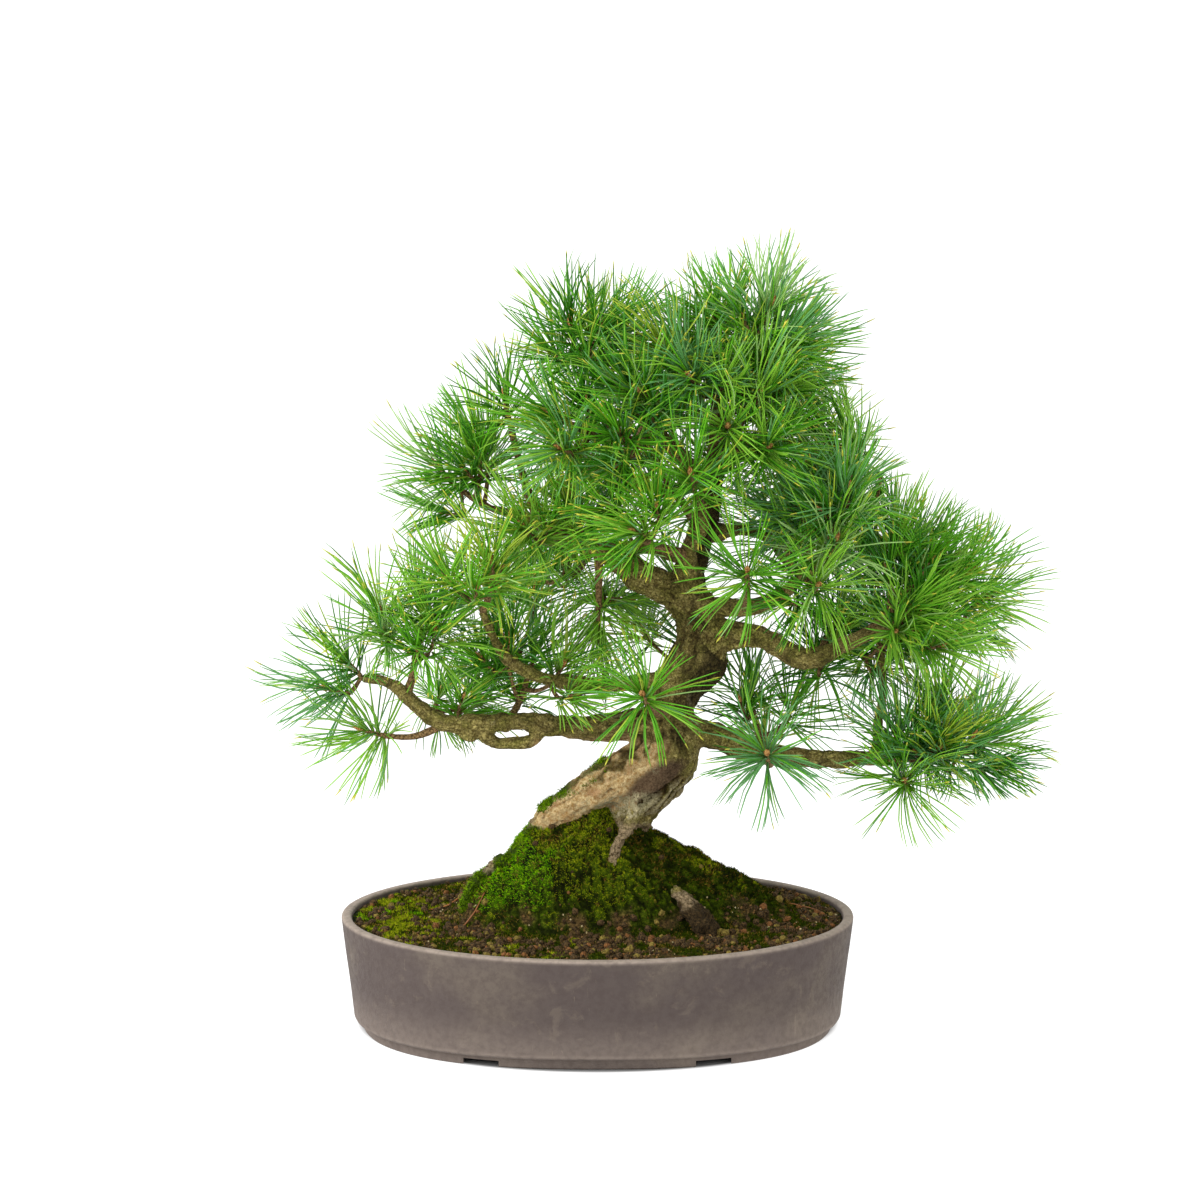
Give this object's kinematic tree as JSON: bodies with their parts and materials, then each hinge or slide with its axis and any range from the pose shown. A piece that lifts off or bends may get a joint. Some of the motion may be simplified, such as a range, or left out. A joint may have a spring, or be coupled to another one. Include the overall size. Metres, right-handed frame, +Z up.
{
  "type": "japanese white pine bonsai",
  "caption": "Potted Japanese white pine bonsai: leaning trunk on a mossy root mound, spreading boughs with tufts of fine green needles, in a low oval stoneware pot.",
  "frame": {"origin": "on the ground under the middle of the whole plant's box, on the plane of the pot's foot", "axes": "+Z up, -Y towards the viewer of the tree's front, +X to that viewer's right along the pot's length"},
  "size_m": [0.624, 0.3562, 0.6174],
  "materials": {
    "stoneware": "unglazed, matt, blotched with paler tan",
    "soil": "damp granular soil of small baked-clay grains",
    "moss": "short dense moss on peaty soil",
    "trunk_bark": "flaking tan bark with pale lichen",
    "bough_bark": "finely cracked dark bark",
    "needles": "satin",
    "needles_bright": "satin",
    "needles_shaded": "satin"
  },
  "bodies": {
    "root": {"bough_back_left": "bough_bark", "bough_back_right": "bough_bark", "bough_front_high": "bough_bark", "bough_left_loop": "bough_bark", "bough_left_low": "bough_bark", "bough_left_mid": "bough_bark", "bough_left_top": "bough_bark", "bough_left_up": "bough_bark", "bough_right_low": "bough_bark", "bough_right_mid": "bough_bark", "bough_right_top": "bough_bark", "bough_right_up": "bough_bark", "bough_right_upright": "bough_bark", "foliage_back_heart": "needles_shaded", "foliage_back_high_left": "needles_shaded", "foliage_back_high_right": "needles_shaded", "foliage_back_left": "needles_shaded", "foliage_back_low": "needles_shaded", "foliage_back_right": "needles_shaded", "foliage_back_top": "needles_shaded", "foliage_high_front": "needles_bright", "foliage_high_left": "needles_bright", "foliage_high_right": "needles", "foliage_high_right_front": "needles", "foliage_left_back": "needles_shaded", "foliage_left_brush": "needles_bright", "foliage_left_centre": "needles", "foliage_left_front": "needles_bright", "foliage_left_heart": "needles_shaded", "foliage_left_inner": "needles_shaded", "foliage_left_shoulder": "needles_bright", "foliage_left_star": "needles_bright", "foliage_left_tip": "needles", "foliage_left_under": "needles", "foliage_low_drop": "needles", "foliage_low_inner": "needles_shaded", "foliage_low_star": "needles", "foliage_low_tip": "needles", "foliage_right_front": "needles", "foliage_right_heart": "needles_shaded", "foliage_right_high": "needles_bright", "foliage_right_inner": "needles_shaded", "foliage_right_mid": "needles", "foliage_right_star": "needles_bright", "foliage_right_tip": "needles", "foliage_right_up": "needles", "foliage_right_up_front": "needles", "foliage_star_centre": "needles_bright", "foliage_star_curly": "needles_bright", "foliage_star_front_low": "needles_bright", "foliage_star_high_left": "needles_bright", "foliage_top_apex": "needles", "foliage_top_back": "needles", "foliage_top_front": "needles", "foliage_top_left": "needles", "moss_mound": "moss", "pot": "stoneware", "soil": "soil", "trunk": "trunk_bark"}
  },
  "joints": []
}
